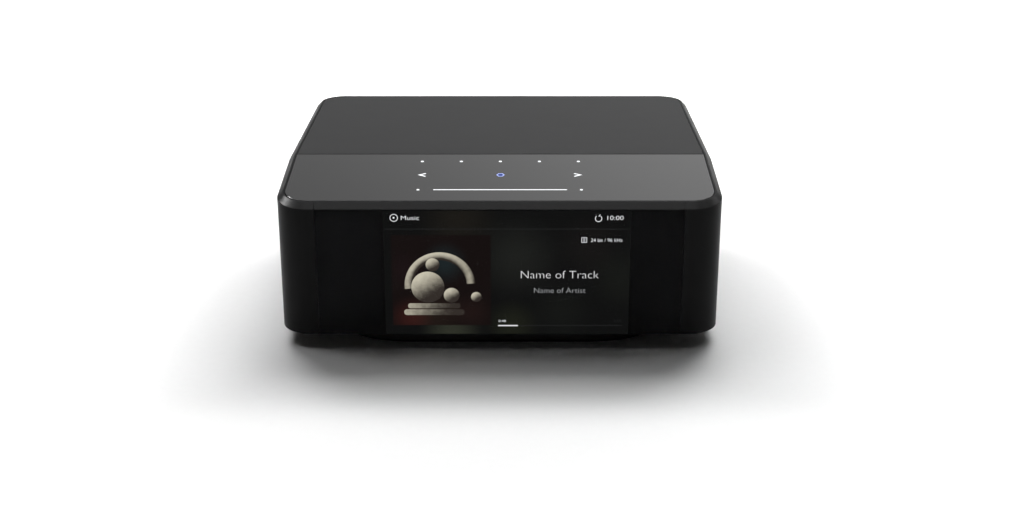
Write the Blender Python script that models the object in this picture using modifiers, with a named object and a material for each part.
"""Desktop network streamer and DAC: a rounded black case with a display behind the front glass.

The front faces -Y, X runs to the right as seen from the front, and Z is up. The origin lies at the
middle of the case, on the surface that its foot stands on. Sizes are written in millimetres, and
link() scales each shape to metres.
"""

import math

import bmesh
import bpy
from mathutils import Matrix, Vector

METRE = 0.001

# Driving dimensions of the case
WIDTH = 220
DEPTH = 191
TOP = 84
BODY_LOW = 7.4
CORNER = 16
CREASE_Y = -36
SLOPE = math.radians(7.93)
RIM_CHAMFER = 2.8
WALL = 3.2
PANEL_INSET = 4
CREASE_SEAM = 0.5
GAP = 0.3
FRONT = -DEPTH / 2
BACK = DEPTH / 2

# The shelf inside the rim that carries the two top panels
TOP_SHEET = 2
SHELF = 2
SHELF_INSET = 7.5
CREASE_BEAM = 10
WINDOW_CORNER = 8
UNDER_SHELF = 50

# Front glass, frame and display
GLASS_HALF = 90.05
FASCIA_GAP_HALF = 90.2
GLASS = 2
GLASS_TOP = 72.6
HEADER = 1.6
SEAT = FRONT + GLASS + GAP
FRAME_BACK = FRONT + 5.3
HEADER_BACK = FRONT + 8
DISPLAY_X = (-57, 64.5)
DISPLAY_Z = (8.3, 72.1)
DISPLAY = 2.4
BRACKET_X = (-62, 69)
BRACKET_Z = (12, 70)

# Connector bay at the back
BAY_HALF = 92
BAY_Z = (13, 74)
BAY_CORNER = 3
BAY_WALL = 2.6
BAY_LIP = 2.5
PANEL_BACK = BACK - 8
PANEL_FRONT = PANEL_BACK - 2
SOCKET_BACK = PANEL_FRONT - 0.4

# Levels inside, from the foot upwards
PLINTH_LOW = 1.5
PLINTH_SKIN = 2.5
PAN_TOP = 9.9
TRAY_LOW = PAN_TOP + GAP
TRAY_TOP = TRAY_LOW + 1.2
BOARD = 1.6
BOARD_LOW = 14.6
BOARD_TOP = BOARD_LOW + BOARD
SOCKET_LOW = BOARD_TOP + GAP
DAC_LOW = 40.9
DAC_TOP = DAC_LOW + BOARD
DAC_SOCKET_LOW = DAC_TOP + GAP
BOARD_REAR = PANEL_FRONT - 2.3
PHONE_BOARD_LOW = 18

# Connectors along the back: the X of each centre, and the Z of each row
XLR_X = {"right": -74, "left": -44}
XLR_Z = 54.5
RCA_X = {"output_right": -16, "output_left": 2, "subwoofer": 20, "digital": 38}
RCA_Z = 51
MINI_JACK_X = {"trigger": -80, "line_in": -62}
LOW_ROW_Z = 20
OPTICAL_X = -42
HDMI_X = -19
USB_A_X = 1
USB_C_X = 14.5
ETHERNET_X = 29.5
BUTTON_X = 44
INLET_X = 71
INLET_Z = 25
VENT_X = [62 + 4 * i for i in range(7)]
PANEL_SCREW_X = 88
PANEL_SCREW_Z = {"low": 17.5, "high": 70.5}

# Centre, half width and top of each socket that fills a square hole in the rear panel
SQUARE_SOCKETS = {
    "optical": (OPTICAL_X, 6.5, 29.5),
    "hdmi": (HDMI_X, 7.5, 22.1),
    "usb_a": (USB_A_X, 6.6, 22.5),
    "usb_c": (USB_C_X, 4.6, 20.5),
    "ethernet": (ETHERNET_X, 8, 30),
    "inlet": (INLET_X, 12, 33.5),
}

# Headphone jack, the same on both sides
PHONE_Y = -63
PHONE_Z = 28
PHONE_BARREL = 5.5
PHONE_BORE = 3.25

# Screws into the case, and the plinth with its foot
BASE_SCREWS = {"front": (99.5, -85), "rear": (102, 70)}
BOSS_RADIUS = 5.5
BOSS_TOP = 24
PLINTH_X = 89
PLINTH_Y = 88.5
PLINTH_RADIUS = 42
FOOT_INSET = 1
FOOT_WIDTH = 5

ROUND = 24
CORNER_STEPS = 10
SIDES = {"left": -1, "right": 1}

# Colour, roughness and metallic value of each finish
FINISHES = {
    "case": ((0.018, 0.018, 0.019), 0.42, 0.0),
    "glass": ((0.008, 0.008, 0.009), 0.08, 0.0),
    "top_cover": ((0.055, 0.055, 0.056), 0.45, 0.6),
    "base": ((0.02, 0.02, 0.02), 0.6, 0.0),
    "rubber": ((0.012, 0.012, 0.012), 0.85, 0.0),
    "panel": ((0.025, 0.025, 0.026), 0.5, 0.5),
    "steel": ((0.6, 0.6, 0.62), 0.35, 1.0),
    "screw": ((0.05, 0.05, 0.05), 0.4, 1.0),
    "board": ((0.01, 0.06, 0.03), 0.5, 0.0),
    "display": ((0.02, 0.02, 0.025), 0.2, 0.0),
    "clear": ((0.8, 0.8, 0.8), 0.1, 0.0),
    "socket": ((0.02, 0.02, 0.02), 0.5, 0.0),
    "shield": ((0.65, 0.65, 0.66), 0.3, 1.0),
    "gold": ((0.75, 0.55, 0.2), 0.25, 1.0),
    "heatsink": ((0.04, 0.04, 0.045), 0.5, 1.0),
    "core": ((0.12, 0.11, 0.1), 0.6, 0.3),
    "sleeve": ((0.02, 0.02, 0.03), 0.4, 0.0),
    "ribbon": ((0.75, 0.73, 0.68), 0.5, 0.0),
}


def clear_scene():
    for old in list(bpy.data.objects):
        bpy.data.objects.remove(old)


def collection(name):
    made = bpy.data.collections.new(name)
    bpy.context.scene.collection.children.link(made)
    return made


def finish(name):
    colour, roughness, metallic = FINISHES[name]
    material = bpy.data.materials.new(name)
    material.use_nodes = True
    shader = material.node_tree.nodes["Principled BSDF"]
    shader.inputs["Base Color"].default_value = (*colour, 1)
    shader.inputs["Roughness"].default_value = roughness
    shader.inputs["Metallic"].default_value = metallic
    return material


clear_scene()
PARTS = collection("desktop_dac")
CUTTERS = collection("cutters")
MATERIALS = {name: finish(name) for name in FINISHES}


# ---------------------------------------------------------------- shapes, in millimetres

def block(x, y, z, radius=0.0, along="Z", steps=4, into=None):
    """A box from its X, Y and Z limits. Its four edges along one axis are rounded by radius."""
    bm = bmesh.new() if into is None else into
    low, high = (Vector(ends) for ends in zip(x, y, z))
    place = Matrix.Translation((low + high) / 2) @ Matrix.Diagonal((*(high - low), 1))
    corners = bmesh.ops.create_cube(bm, size=1, matrix=place)["verts"]
    if radius:
        axis = "XYZ".index(along)
        edges = {edge for corner in corners for edge in corner.link_edges}
        rounded = [e for e in edges if abs(e.verts[0].co[axis] - e.verts[1].co[axis]) > 1e-3]
        bmesh.ops.bevel(
            bm, geom=rounded, offset=radius, segments=steps, profile=0.5, affect="EDGES"
        )
    return bm


def rod(along, centre, span, radius, segments=ROUND, into=None):
    """A cylinder along one axis. centre gives the other two coordinates, span its two ends."""
    bm = bmesh.new() if into is None else into
    start, end = (
        Vector({"X": (at, *centre), "Y": (centre[0], at, centre[1]), "Z": (*centre, at)}[along])
        for at in span
    )
    turn = (end - start).to_track_quat("Z", "Y").to_matrix().to_4x4()
    bmesh.ops.create_cone(
        bm, cap_ends=True, segments=segments, radius1=radius, radius2=radius,
        depth=(end - start).length, matrix=Matrix.Translation((start + end) / 2) @ turn,
    )
    return bm


def slice_off(bm, point, normal):
    """Removes what lies beyond a plane and closes the cut. The shape has to be convex."""
    geometry = bm.verts[:] + bm.edges[:] + bm.faces[:]
    cut_geometry = bmesh.ops.bisect_plane(
        bm, geom=geometry, plane_co=point, plane_no=normal, clear_outer=True
    )["geom_cut"]
    edges = [found for found in cut_geometry if isinstance(found, bmesh.types.BMEdge)]
    bmesh.ops.contextual_create(bm, geom=edges)
    return bm


def extruded(outline, span):
    """A closed outline of (y, z) points, extruded along X."""
    bm = bmesh.new()
    face = bm.faces.new([bm.verts.new((span[0], y, z)) for y, z in outline])
    moved = bmesh.ops.extrude_face_region(bm, geom=[face])["geom"]
    moved_verts = [found for found in moved if isinstance(found, bmesh.types.BMVert)]
    bmesh.ops.translate(bm, verts=moved_verts, vec=(span[1] - span[0], 0, 0))
    return bm


def roof_z(y, drop=0.0):
    """Height of the top surface at y: flat behind the crease, sloping down in front of it."""
    return TOP - drop - max(0.0, CREASE_Y - y) * math.tan(SLOPE)


def roof_normal():
    return Vector((0, -math.sin(SLOPE), math.cos(SLOPE)))


def case_block(inset, z):
    """A block with the case's outline, inset on all sides."""
    half_x = WIDTH / 2 - inset
    half_y = DEPTH / 2 - inset
    return block((-half_x, half_x), (-half_y, half_y), z, CORNER - inset, "Z", CORNER_STEPS)


def roofed_block(inset, low, drop):
    """The same, from low up to the roof lowered by drop."""
    return slice_off(case_block(inset, (low, TOP - drop)), (0, CREASE_Y, TOP - drop), roof_normal())


def sloped_slab(x, y, drop, thickness):
    """A slab parallel to the sloping front of the roof."""
    slab = block(x, y, (UNDER_SHELF, TOP))
    slice_off(slab, (0, CREASE_Y, TOP - drop), roof_normal())
    return slice_off(slab, (0, CREASE_Y, TOP - drop - thickness), -roof_normal())


# ---------------------------------------------------------------- objects and Booleans

def link(name, bm, where):
    bmesh.ops.recalc_face_normals(bm, faces=bm.faces[:])
    bmesh.ops.scale(bm, verts=bm.verts[:], vec=(METRE, METRE, METRE))
    mesh = bpy.data.meshes.new(name)
    bm.to_mesh(mesh)
    bm.free()
    made = bpy.data.objects.new(name, mesh)
    where.objects.link(made)
    return made


def part(name, bm, finish_name):
    """A visible sub-part, shaded smooth where its faces meet at less than 30 degrees."""
    made = link(name, bm, PARTS)
    made.data.materials.append(MATERIALS[finish_name])
    made.data.shade_smooth()
    made.data.set_sharp_from_angle(angle=math.radians(30))
    return made


def boolean(target, operation, bm, name):
    tool = link(f"{target.name}_{name}", bm, CUTTERS)
    tool.hide_render = True
    tool.display_type = "WIRE"
    step = target.modifiers.new(name, "BOOLEAN")
    step.operation = operation
    step.solver = "EXACT"
    step.object = tool
    return tool


def cut(target, bm, name):
    return boolean(target, "DIFFERENCE", bm, name)


def join(target, bm, name):
    return boolean(target, "UNION", bm, name)


def soften(target, width, segments=1):
    """A bevel on the sharp edges."""
    edge = target.modifiers.new("edge", "BEVEL")
    edge.width = width * METRE
    edge.segments = segments
    edge.limit_method = "ANGLE"


# ---------------------------------------------------------------- case

def add_shelf(housing):
    """A ledge inside the rim and a beam under the crease, with an open window on each side of it."""
    shelf = join(housing, roofed_block(WALL - GAP, 60, TOP_SHEET + GAP), "shelf")
    cut(shelf, roofed_block(WALL - 2 * GAP, UNDER_SHELF, TOP_SHEET + GAP + SHELF), "underside")
    half_x = WIDTH / 2 - SHELF_INSET
    half_y = DEPTH / 2 - SHELF_INSET
    x = (-half_x, half_x)
    z = (UNDER_SHELF, TOP + 5)
    windows = block(x, (-half_y, CREASE_Y - CREASE_BEAM / 2), z, WINDOW_CORNER)
    block(x, (CREASE_Y + CREASE_BEAM / 2, half_y), z, WINDOW_CORNER, into=windows)
    cut(shelf, windows, "windows")


def add_bay(housing):
    """The recess at the back: walls around the rear panel, which rests against a lip."""
    frame = BAY_HALF + BAY_WALL
    bay_z = (BAY_Z[0] - BAY_WALL, BAY_Z[1] + BAY_WALL)
    walls = block((-frame, frame), (PANEL_FRONT - 2, BACK - WALL + GAP), bay_z, BAY_CORNER, "Y")
    join(housing, walls, "bay")
    mouth_y = (PANEL_FRONT - GAP, BACK + WALL)
    cut(housing, block((-BAY_HALF, BAY_HALF), mouth_y, BAY_Z, BAY_CORNER, "Y"), "bay_mouth")
    throat_x = BAY_HALF - BAY_LIP
    throat_z = (BAY_Z[0] + BAY_LIP, BAY_Z[1] - BAY_LIP)
    cut(housing, block((-throat_x, throat_x), (PANEL_FRONT - 20, BACK), throat_z), "bay_throat")


def base_screw_places():
    for end, (x, y) in BASE_SCREWS.items():
        for hand, side in SIDES.items():
            yield f"{end}_{hand}", (side * x, y)


def make_housing():
    """The wall that wraps the sides and the back, with a chamfered rim."""
    outer = roofed_block(0, BODY_LOW, 0)
    rim = [
        edge for edge in outer.edges
        if max(face.normal.z for face in edge.link_faces) > 0.9
        and min(abs(face.normal.z) for face in edge.link_faces) < 0.1
    ]
    bmesh.ops.bevel(outer, geom=rim, offset=RIM_CHAMFER, segments=1, affect="EDGES")
    housing = part("housing_wrap", outer, "case")
    cut(housing, case_block(WALL, (0, TOP + 5)), "inside")
    add_shelf(housing)
    add_bay(housing)
    gap_y = (FRONT - 5, HEADER_BACK + GAP)
    cut(housing, block((-FASCIA_GAP_HALF, FASCIA_GAP_HALF), gap_y, (0, TOP + 5)), "fascia_gap")
    bosses = bmesh.new()
    holes = bmesh.new()
    for _, place in base_screw_places():
        rod("Z", place, (PAN_TOP + GAP, BOSS_TOP), BOSS_RADIUS, 16, into=bosses)
        rod("Z", place, (0, BOSS_TOP - 2), 1.5, 12, into=holes)
    join(housing, bosses, "bosses")
    cut(housing, holes, "boss_holes")
    for hand, side in SIDES.items():
        span = (side * (WIDTH / 2 - 10), side * (WIDTH / 2 + 10))
        cut(housing, rod("X", (PHONE_Y, PHONE_Z), span, PHONE_BARREL + GAP), f"phone_hole_{hand}")


def make_top_panels():
    """The sloping touch glass in front of the crease and the flat cover behind it."""
    glass = roofed_block(PANEL_INSET, UNDER_SHELF, 0)
    slice_off(glass, (0, CREASE_Y, TOP - TOP_SHEET), -roof_normal())
    slice_off(glass, (0, CREASE_Y - CREASE_SEAM / 2, 0), (0, 1, 0))
    part("touch_glass", glass, "glass")
    cover = case_block(PANEL_INSET, (TOP - TOP_SHEET, TOP))
    slice_off(cover, (0, CREASE_Y + CREASE_SEAM / 2, 0), (0, -1, 0))
    part("rear_top_cover", cover, "top_cover")


def plinth_block(inset, z):
    x = PLINTH_X - inset
    y = PLINTH_Y - inset
    return block((-x, x), (-y, y), z, PLINTH_RADIUS - inset, "Z", CORNER_STEPS)


def make_base():
    """The bottom pan: a plate inside the wall, with a hollow plinth below it and a rubber foot."""
    pan = part("base_pan", case_block(WALL + GAP, (BODY_LOW, PAN_TOP)), "base")
    join(pan, plinth_block(0, (PLINTH_LOW, BODY_LOW + GAP)), "plinth")
    cut(pan, plinth_block(PLINTH_SKIN, (PLINTH_LOW + PLINTH_SKIN, PAN_TOP + 5)), "room")
    gap_y = (FRONT - 5, FRAME_BACK + 0.5)
    cut(pan, block((-FASCIA_GAP_HALF, FASCIA_GAP_HALF), gap_y, (0, PAN_TOP + 5)), "fascia_gap")
    holes = bmesh.new()
    counterbores = bmesh.new()
    for _, place in base_screw_places():
        rod("Z", place, (0, PAN_TOP + 5), 1.9, 16, into=holes)
        rod("Z", place, (0, BODY_LOW + 1.5), 3.3, 20, into=counterbores)
    cut(pan, holes, "screw_holes")
    cut(pan, counterbores, "counterbores")

    groove_top = PLINTH_LOW + 1.3
    ring_inset = FOOT_INSET + FOOT_WIDTH
    groove = cut(pan, plinth_block(FOOT_INSET - GAP, (0, groove_top)), "foot_groove")
    cut(groove, plinth_block(ring_inset + GAP, (-5, PAN_TOP)), "land")
    slots = bmesh.new()
    for side in SIDES.values():
        for row in range(9):
            y = 8 * (row - 4)
            slot_x = (side * 28 - 16, side * 28 + 16)
            block(slot_x, (y - 1.2, y + 1.2), (0, PAN_TOP), into=slots)
    cut(pan, slots, "vents")

    foot = part("foot_ring", plinth_block(FOOT_INSET, (0, groove_top - GAP)), "rubber")
    cut(foot, plinth_block(ring_inset, (-5, PAN_TOP)), "hole")


def make_base_screws():
    """Four cross-head screws that hold the pan to the case."""
    head_low = BODY_LOW + 0.2
    slot_z = (0, head_low + 0.5)
    for name, (x, y) in base_screw_places():
        head = rod("Z", (x, y), (head_low, head_low + 1), 2.8, 16)
        screw = part(f"base_screw_{name}", head, "screw")
        join(screw, rod("Z", (x, y), (head_low + 0.5, BOSS_TOP - 4), 1.2, 12), "shank")
        cut(screw, block((x - 1.6, x + 1.6), (y - 0.3, y + 0.3), slot_z), "drive")
        cut(screw, block((x - 0.3, x + 0.3), (y - 1.6, y + 1.6), slot_z), "cross_drive")


# ---------------------------------------------------------------- front

def make_fascia():
    """The glass over the whole front, and the frame behind it with its share of the rim."""
    glass_x = (-GLASS_HALF, GLASS_HALF)
    part("front_glass", block(glass_x, (FRONT, FRONT + GLASS), (BODY_LOW, GLASS_TOP)), "glass")

    rim_back = FRONT + RIM_CHAMFER * math.cos(SLOPE)
    land_back = FRONT + WALL
    under_touch_glass = TOP_SHEET + GAP
    over_glass = GLASS_TOP + 0.2
    frame_low = BODY_LOW + GAP
    section = [
        (FRONT, over_glass),
        (FRONT, roof_z(FRONT) - RIM_CHAMFER),
        (rim_back, roof_z(rim_back)),
        (land_back, roof_z(land_back)),
        (land_back, roof_z(land_back, under_touch_glass)),
        (HEADER_BACK, roof_z(HEADER_BACK, under_touch_glass)),
        (HEADER_BACK, GLASS_TOP - HEADER),
        (FRAME_BACK, GLASS_TOP - HEADER),
        (FRAME_BACK, frame_low),
        (SEAT, frame_low),
        (SEAT, over_glass),
    ]
    frame = part("fascia_frame", extruded(section, glass_x), "case")
    window_x = (DISPLAY_X[0] - 0.4, DISPLAY_X[1] + 0.4)
    cut(frame, block(window_x, (SEAT - 1, FRAME_BACK + 1), (0, DISPLAY_Z[1] + 0.2)), "window")


def make_display():
    """The display panel, the steel bracket behind it and the board on the bracket's posts."""
    panel_y = (SEAT + 0.1, SEAT + 0.1 + DISPLAY)
    part("display_panel", block(DISPLAY_X, panel_y, DISPLAY_Z), "display")
    plate_y = FRAME_BACK + GAP
    bracket = part("display_bracket", block(BRACKET_X, (plate_y, plate_y + 1), BRACKET_Z), "steel")
    posts = bmesh.new()
    for x in (-36, 43):
        for z in (26, 54):
            rod("Y", (x, z), (plate_y + 0.5, plate_y + 3), 2.5, 12, into=posts)
    join(bracket, posts, "posts")
    board_y = plate_y + 3 + GAP
    board = part("display_board", block((-40, 47), (board_y, board_y + BOARD), (22, 58)), "board")
    chip_y = (board_y + 0.5, board_y + BOARD + 1.2)
    chips = block((-12, 2), chip_y, (40, 54))
    block((10, 26), (chip_y[0], chip_y[1] + 0.6), (25, 31), into=chips)
    join(board, chips, "chips")


def make_touch_stack():
    """Under the touch glass: the guide that lights its symbols, and the sensor board."""
    y = (-85, CREASE_Y - CREASE_BEAM / 2 - 2)
    guide_drop = TOP_SHEET + GAP
    part("light_guide", sloped_slab((-60, 60), y, guide_drop, 2), "clear")
    part("touch_board", sloped_slab((-56, 56), y, guide_drop + 2 + GAP, BOARD), "board")


# ---------------------------------------------------------------- rear panel and connectors

def make_rear_panel():
    x = (-BAY_HALF + GAP, BAY_HALF - GAP)
    z = (BAY_Z[0] + GAP, BAY_Z[1] - GAP)
    plate = block(x, (PANEL_FRONT, PANEL_BACK), z, BAY_CORNER - GAP, "Y")
    panel = part("rear_panel", plate, "panel")
    through = (PANEL_FRONT - 1, PANEL_BACK + 1)
    holes = bmesh.new()
    for x in XLR_X.values():
        rod("Y", (x, XLR_Z), through, 11.6, 32, into=holes)
    for x in RCA_X.values():
        rod("Y", (x, RCA_Z), through, 4.6, into=holes)
    for x in MINI_JACK_X.values():
        rod("Y", (x, LOW_ROW_Z), through, 3.4, 20, into=holes)
    rod("Y", (BUTTON_X, LOW_ROW_Z), through, 2.4, 16, into=holes)
    for x, half, high in SQUARE_SOCKETS.values():
        hole_z = (SOCKET_LOW - GAP, high + GAP)
        block((x - half - GAP, x + half + GAP), through, hole_z, into=holes)
    for x in VENT_X:
        block((x - 1, x + 1), through, (44, 66), into=holes)
    for side in SIDES.values():
        for z in PANEL_SCREW_Z.values():
            rod("Y", (side * PANEL_SCREW_X, z), through, 1.2, 12, into=holes)
    cut(panel, holes, "holes")


def make_panel_screws():
    start = PANEL_BACK + 0.2
    for level, z in PANEL_SCREW_Z.items():
        for hand, side in SIDES.items():
            x = side * PANEL_SCREW_X
            head = rod("Y", (x, z), (start, start + 1.2), 2.2, 16)
            screw = part(f"panel_screw_{level}_{hand}", head, "screw")
            join(screw, rod("Y", (x, z), (PANEL_FRONT + 0.2, start + 0.5), 0.9, 12), "shank")


def make_xlr(name, x):
    """A male three-pin output: a flange outside the panel, a shell through it and pins inside."""
    y = PANEL_BACK + GAP
    flange = block((x - 13, x + 13), (y, y + 1.8), (XLR_Z - 15.5, XLR_Z + 15.5), 3, "Y")
    xlr = part(name, flange, "shield")
    join(xlr, rod("Y", (x, XLR_Z), (66, y + 1), 11.2, 32), "shell")
    cut(xlr, rod("Y", (x, XLR_Z), (72, BACK), 9.4, 32), "cavity")
    pins = bmesh.new()
    pin_circle = 5.2
    for turn in (90, 210, 330):
        pin_x = x + pin_circle * math.cos(math.radians(turn))
        pin_z = XLR_Z + pin_circle * math.sin(math.radians(turn))
        rod("Y", (pin_x, pin_z), (71, PANEL_BACK - 1), 1.2, 12, into=pins)
    join(xlr, pins, "pins")


def make_rca(name, x):
    rca = part(name, block((x - 6, x + 6), (66, SOCKET_BACK), (DAC_SOCKET_LOW, 58)), "gold")
    join(rca, rod("Y", (x, RCA_Z), (SOCKET_BACK - 1, BACK - GAP), 4.15), "barrel")
    cut(rca, rod("Y", (x, RCA_Z), (PANEL_BACK, BACK + 1), 1.7, 16), "centre")


def make_mini_jack(name, x):
    jack = part(name, block((x - 4, x + 4), (73, SOCKET_BACK), (SOCKET_LOW, 23.5)), "socket")
    nose = rod("Y", (x, LOW_ROW_Z), (SOCKET_BACK - 1, PANEL_BACK - 0.2), 3, 20)
    join(jack, nose, "nose")
    cut(jack, rod("Y", (x, LOW_ROW_Z), (74, BACK), 1.8, 16), "bore")


def square_socket(name, key, front, finish_name):
    """The body of a socket that ends flush with the rear panel."""
    x, half, high = SQUARE_SOCKETS[key]
    body = block((x - half, x + half), (front, PANEL_BACK), (SOCKET_LOW, high))
    return part(name, body, finish_name)


def make_optical():
    """A square optical output and the spring flap that closes it, hinged along its top edge."""
    x = OPTICAL_X
    socket = square_socket("optical_socket", "optical", 68, "socket")
    cut(socket, block((x - 4.7, x + 4.7), (75, BACK), (18.5, 27.9)), "port")
    pocket = block((x - 4.7, x + 4.7), (75, PANEL_BACK - 0.5), (27.4, 28.95))
    cut(socket, pocket, "flap_pocket")
    flap = part("optical_shutter", block((-4.4, 4.4), (-0.4, 0.4), (-9.4, 0.4)), "socket")
    flap.location = Vector((x, PANEL_BACK - 1.2, 28.2)) * METRE


def make_hdmi():
    x = HDMI_X
    socket = square_socket("hdmi_socket", "hdmi", 76, "shield")
    cut(socket, block((x - 7, x + 7), (78, BACK), (17.9, 21.6)), "opening")
    cut(socket, block((x - 5.9, x + 5.9), (78, BACK), (17, 18.2)), "lower_opening")
    join(socket, block((x - 5.4, x + 5.4), (77, PANEL_BACK - 1), (19.1, 20.3)), "tongue")


def make_usb():
    x = USB_A_X
    host = square_socket("usb_a_socket", "usb_a", 72, "shield")
    cut(host, block((x - 6.1, x + 6.1), (75, BACK), (17, 22)), "opening")
    join(host, block((x - 5.5, x + 5.5), (74, PANEL_BACK - 1), (19.9, 21.5)), "tongue")
    x = USB_C_X
    small = square_socket("usb_c_socket", "usb_c", 79, "shield")
    cut(small, block((x - 4.2, x + 4.2), (81, BACK), (17.1, 20), 1.4, "Y"), "opening")
    join(small, block((x - 3.2, x + 3.2), (80, PANEL_BACK - 1), (18.2, 18.9)), "tongue")


def make_ethernet():
    x = ETHERNET_X
    socket = square_socket("ethernet_socket", "ethernet", 66, "shield")
    cut(socket, block((x - 5.9, x + 5.9), (74, BACK), (20, 27.6)), "opening")
    cut(socket, block((x - 3, x + 3), (74, BACK), (17.8, 21)), "latch_slot")


def make_inlet():
    """The two-pin mains inlet, with a rounded recess for the lead's plug."""
    x, z = INLET_X, INLET_Z
    inlet = square_socket("mains_inlet", "inlet", 60, "socket")
    recess = block((x - 7.9, x + 7.9), (74.5, BACK), (z - 4.2, z + 4.2), 4.1, "Y", 6)
    cut(inlet, recess, "recess")
    pins = bmesh.new()
    for side in SIDES.values():
        rod("Y", (x + side * 4.3, z), (73.5, PANEL_BACK - 1.5), 1.2, 12, into=pins)
    join(inlet, pins, "pins")


def make_service_button():
    """A small push button through the panel, whose stem works the switch behind it."""
    x, z = BUTTON_X, LOW_ROW_Z
    switch = part("service_switch", block((x - 3, x + 3), (76, 82), (SOCKET_LOW, 23)), "socket")
    cut(switch, rod("Y", (x, z), (79.3, BACK), 1.4, 16), "stem_bore")
    button = part("service_button", rod("Y", (0, 0), (-4.1, -0.2), 2, 20), "socket")
    button.location = Vector((x, PANEL_BACK, z)) * METRE
    join(button, rod("Y", (0, 0), (-6.6, -3.5), 1, 12), "stem").parent = button


def make_headphone_jacks():
    """A 6.35 mm jack through each side wall, on a small amplifier board of its own."""
    mouth = WIDTH / 2 - 0.2
    board_z = (PHONE_BOARD_LOW, PHONE_BOARD_LOW + BOARD)
    for hand, side in SIDES.items():
        body_x = sorted((side * 78, side * 106.3))
        body = block(body_x, (PHONE_Y - 8, PHONE_Y + 8), (board_z[1] + GAP, 35.9))
        jack = part(f"headphone_jack_{hand}", body, "socket")
        centre = (PHONE_Y, PHONE_Z)
        join(jack, rod("X", centre, (side * 100, side * mouth), PHONE_BARREL), "barrel")
        cut(jack, rod("X", centre, (side * 80, side * 120), PHONE_BORE), "bore")
        board_x = sorted((side * 66, side * 105))
        board = part(f"headphone_board_{hand}", block(board_x, (-79, -46), board_z), "board")
        chip_x = sorted((side * 68, side * 75))
        chips = block(chip_x, (-76, -69), (board_z[0] + 0.5, board_z[1] + 1.4))
        for y in (-60, -51):
            rod("Z", (side * 72, y), (board_z[0] + 0.5, board_z[1] + 9), 4, 16, into=chips)
        join(board, chips, "chips")


# ---------------------------------------------------------------- electronics

def make_tray():
    """A steel tray with posts for the boards and openings for cooling air."""
    plate = block((-93, 93), (-84, 82), (TRAY_LOW, TRAY_TOP), 4)
    tray = part("chassis_tray", plate, "steel")
    posts = bmesh.new()
    main_posts = [(x, y) for x in (-86, 41) for y in (10, 76)]
    power_posts = [(x, y) for x in (55, 88) for y in (-34, 50, 78)]
    for place in main_posts + power_posts:
        rod("Z", place, (TRAY_LOW + 0.5, BOARD_LOW - GAP), 2.8, 12, into=posts)
    for x in (-88, -70, 70, 88):
        for y in (-74, -50):
            rod("Z", (x, y), (TRAY_LOW + 0.5, PHONE_BOARD_LOW - GAP), 2.5, 12, into=posts)
    join(tray, posts, "posts")
    windows = bmesh.new()
    for x in (-40, 0, 40):
        block((x - 14, x + 14), (-60, -12), (0, BOARD_LOW), 4, "Z", 3, into=windows)
    cut(tray, windows, "air_windows")


def make_main_board():
    """Streaming board: memory, regulators, cable socket, and the shielded processor with its sink."""
    plate = block((-92, 47), (4, BOARD_REAR), (BOARD_LOW, BOARD_TOP))
    board = part("main_board", plate, "board")
    root = BOARD_LOW + 0.5
    chips = block((24, 36), (40, 52), (root, BOARD_TOP + 1.4))
    block((-30, -16), (46, 60), (root, BOARD_TOP + 1.4), into=chips)
    for y in (14, 26):
        block((6, 18), (y, y + 9), (root, BOARD_TOP + 1.1), into=chips)
    for x in (-72, -60, -48):
        rod("Z", (x, 52), (root, BOARD_TOP + 7), 3.2, 16, into=chips)
    join(board, chips, "chips")
    part("processor_shield", block((-40, 0), (8, 36), (SOCKET_LOW, 20.4), 1, "Z", 2), "shield")
    part("wireless_card", block((-84, -58), (10, 34), (SOCKET_LOW, 18.9), 1, "Z", 2), "shield")
    sink_low = 20.7
    sink = part("heat_sink", block((-38, -2), (10, 34), (sink_low, sink_low + 2.5)), "heatsink")
    fins = bmesh.new()
    count = 9
    pitch = (36 - 1) / (count - 1)
    for index in range(count):
        x = -38 + pitch * index
        block((x, x + 1), (10, 34), (sink_low + 1, 36), into=fins)
    join(sink, fins, "fins")


def make_dac_board():
    """Converter board on two spacers: the converter chip, op-amps and film capacitors."""
    board = part("dac_board", block((-92, 47), (41, BOARD_REAR), (DAC_LOW, DAC_TOP)), "board")
    root = DAC_LOW + 0.5
    chips = block((-6, 4), (44, 54), (root, DAC_TOP + 1.4))
    for x in (-78, -66, -50, -38, -24, 18, 30):
        block((x - 3, x + 3), (51, 55), (root, DAC_TOP + 1.5), into=chips)
        block((x - 3.5, x + 3.5), (58, 61), (root, DAC_TOP + 8), into=chips)
    join(board, chips, "chips")
    for hand, x in (("left", -86), ("right", 41)):
        spacer = rod("Z", (x, 46), (BOARD_TOP + GAP, DAC_LOW - GAP), 2.8, 6)
        part(f"board_spacer_{hand}", spacer, "steel")


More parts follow.
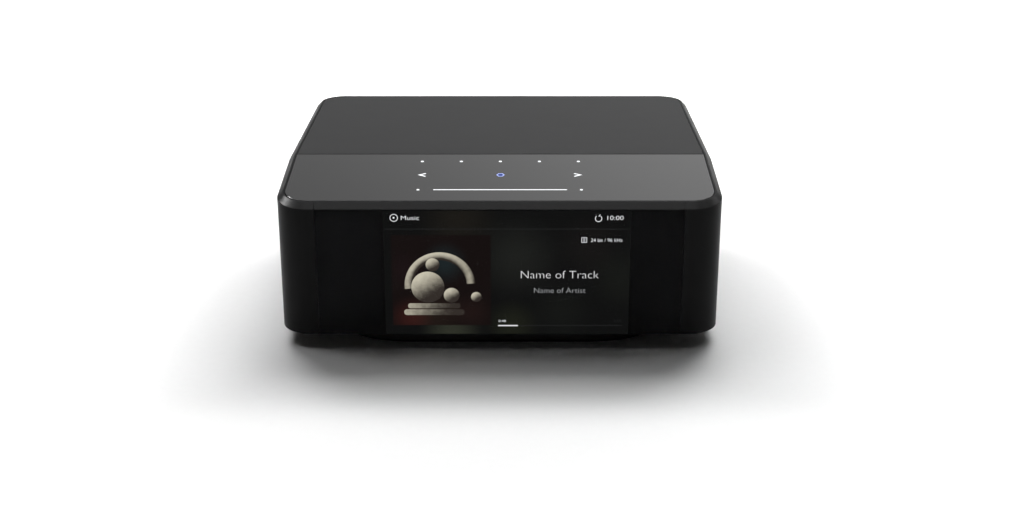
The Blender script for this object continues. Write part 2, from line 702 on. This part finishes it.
def make_power_board():
    """Power supply: the transformer, the bulk capacitor and the smaller parts on their board."""
    plate = block((50, 92), (-40, BOARD_REAR), (BOARD_LOW, BOARD_TOP))
    board = part("power_board", plate, "board")
    root = BOARD_LOW + 0.5
    pieces = block((54, 88), (-36, -33), (root, 40))
    for x in (58, 70, 82):
        rod("Z", (x, -22), (root, BOARD_TOP + 20), 5, 16, into=pieces)
    rod("Z", (82, 35), (root, BOARD_TOP + 14), 7, 16, into=pieces)
    block((74, 90), (47, 55), (root, BOARD_TOP + 12), into=pieces)
    join(board, pieces, "pieces")
    transformer = part("transformer", block((57, 85), (-6, 16), (SOCKET_LOW, 40)), "core")
    join(transformer, block((60, 82), (-10, 20), (20, 36), 4), "winding")
    can = part("bulk_capacitor", rod("Z", (61, 36), (SOCKET_LOW, 50), 9), "sleeve")
    soften(can, 1, 2)


def make_antennas():
    """A flat antenna on the inside of each side wall."""
    for hand, side in SIDES.items():
        x = sorted((side * 105.4, side * 106.4))
        part(f"antenna_{hand}", block(x, (0, 36), (30, 46)), "board")


def sagging(start, end, sag, steps=8):
    """Points from start to end on a parabola that hangs below the straight line by sag."""
    points = []
    for index in range(steps + 1):
        share = index / steps
        y = start[0] + (end[0] - start[0]) * share
        z = start[1] + (end[1] - start[1]) * share - 4 * sag * share * (1 - share)
        points.append((y, z))
    return points


def ribbon(name, x, route):
    """A flat flexible cable along (y, z) points: a thin strip given its thickness by Solidify."""
    bm = bmesh.new()
    rows = [(bm.verts.new((x[0], y, z)), bm.verts.new((x[1], y, z))) for y, z in route]
    for near, far in zip(rows, rows[1:]):
        bm.faces.new((near[0], near[1], far[1], far[0]))
    strip = part(name, bm, "ribbon")
    thick = strip.modifiers.new("thickness", "SOLIDIFY")
    thick.thickness = 0.4 * METRE
    thick.offset = 0


def make_ribbons():
    """Cables from the display board and the touch board down to the main board."""
    display_end = (4.5, BOARD_TOP + 0.6)
    display_route = sagging((-82.4, 28), display_end, 4) + [(9, BOARD_TOP + 0.5)]
    ribbon("display_ribbon", (11, 25), display_route)
    touch_end = (5, BOARD_TOP + 0.8)
    ribbon("touch_ribbon", (33, 43), sagging((-50, 74), touch_end, 5) + [(9, BOARD_TOP + 0.5)])


def make_all():
    make_housing()
    make_top_panels()
    make_base()
    make_base_screws()
    make_fascia()
    make_display()
    make_touch_stack()
    make_rear_panel()
    make_panel_screws()
    for hand, x in XLR_X.items():
        make_xlr(f"xlr_output_{hand}", x)
    for use, x in RCA_X.items():
        make_rca(f"rca_{use}", x)
    for use, x in MINI_JACK_X.items():
        make_mini_jack(f"{use}_jack", x)
    make_optical()
    make_hdmi()
    make_usb()
    make_ethernet()
    make_inlet()
    make_service_button()
    make_headphone_jacks()
    make_tray()
    make_main_board()
    make_dac_board()
    make_power_board()
    make_antennas()
    make_ribbons()


make_all()
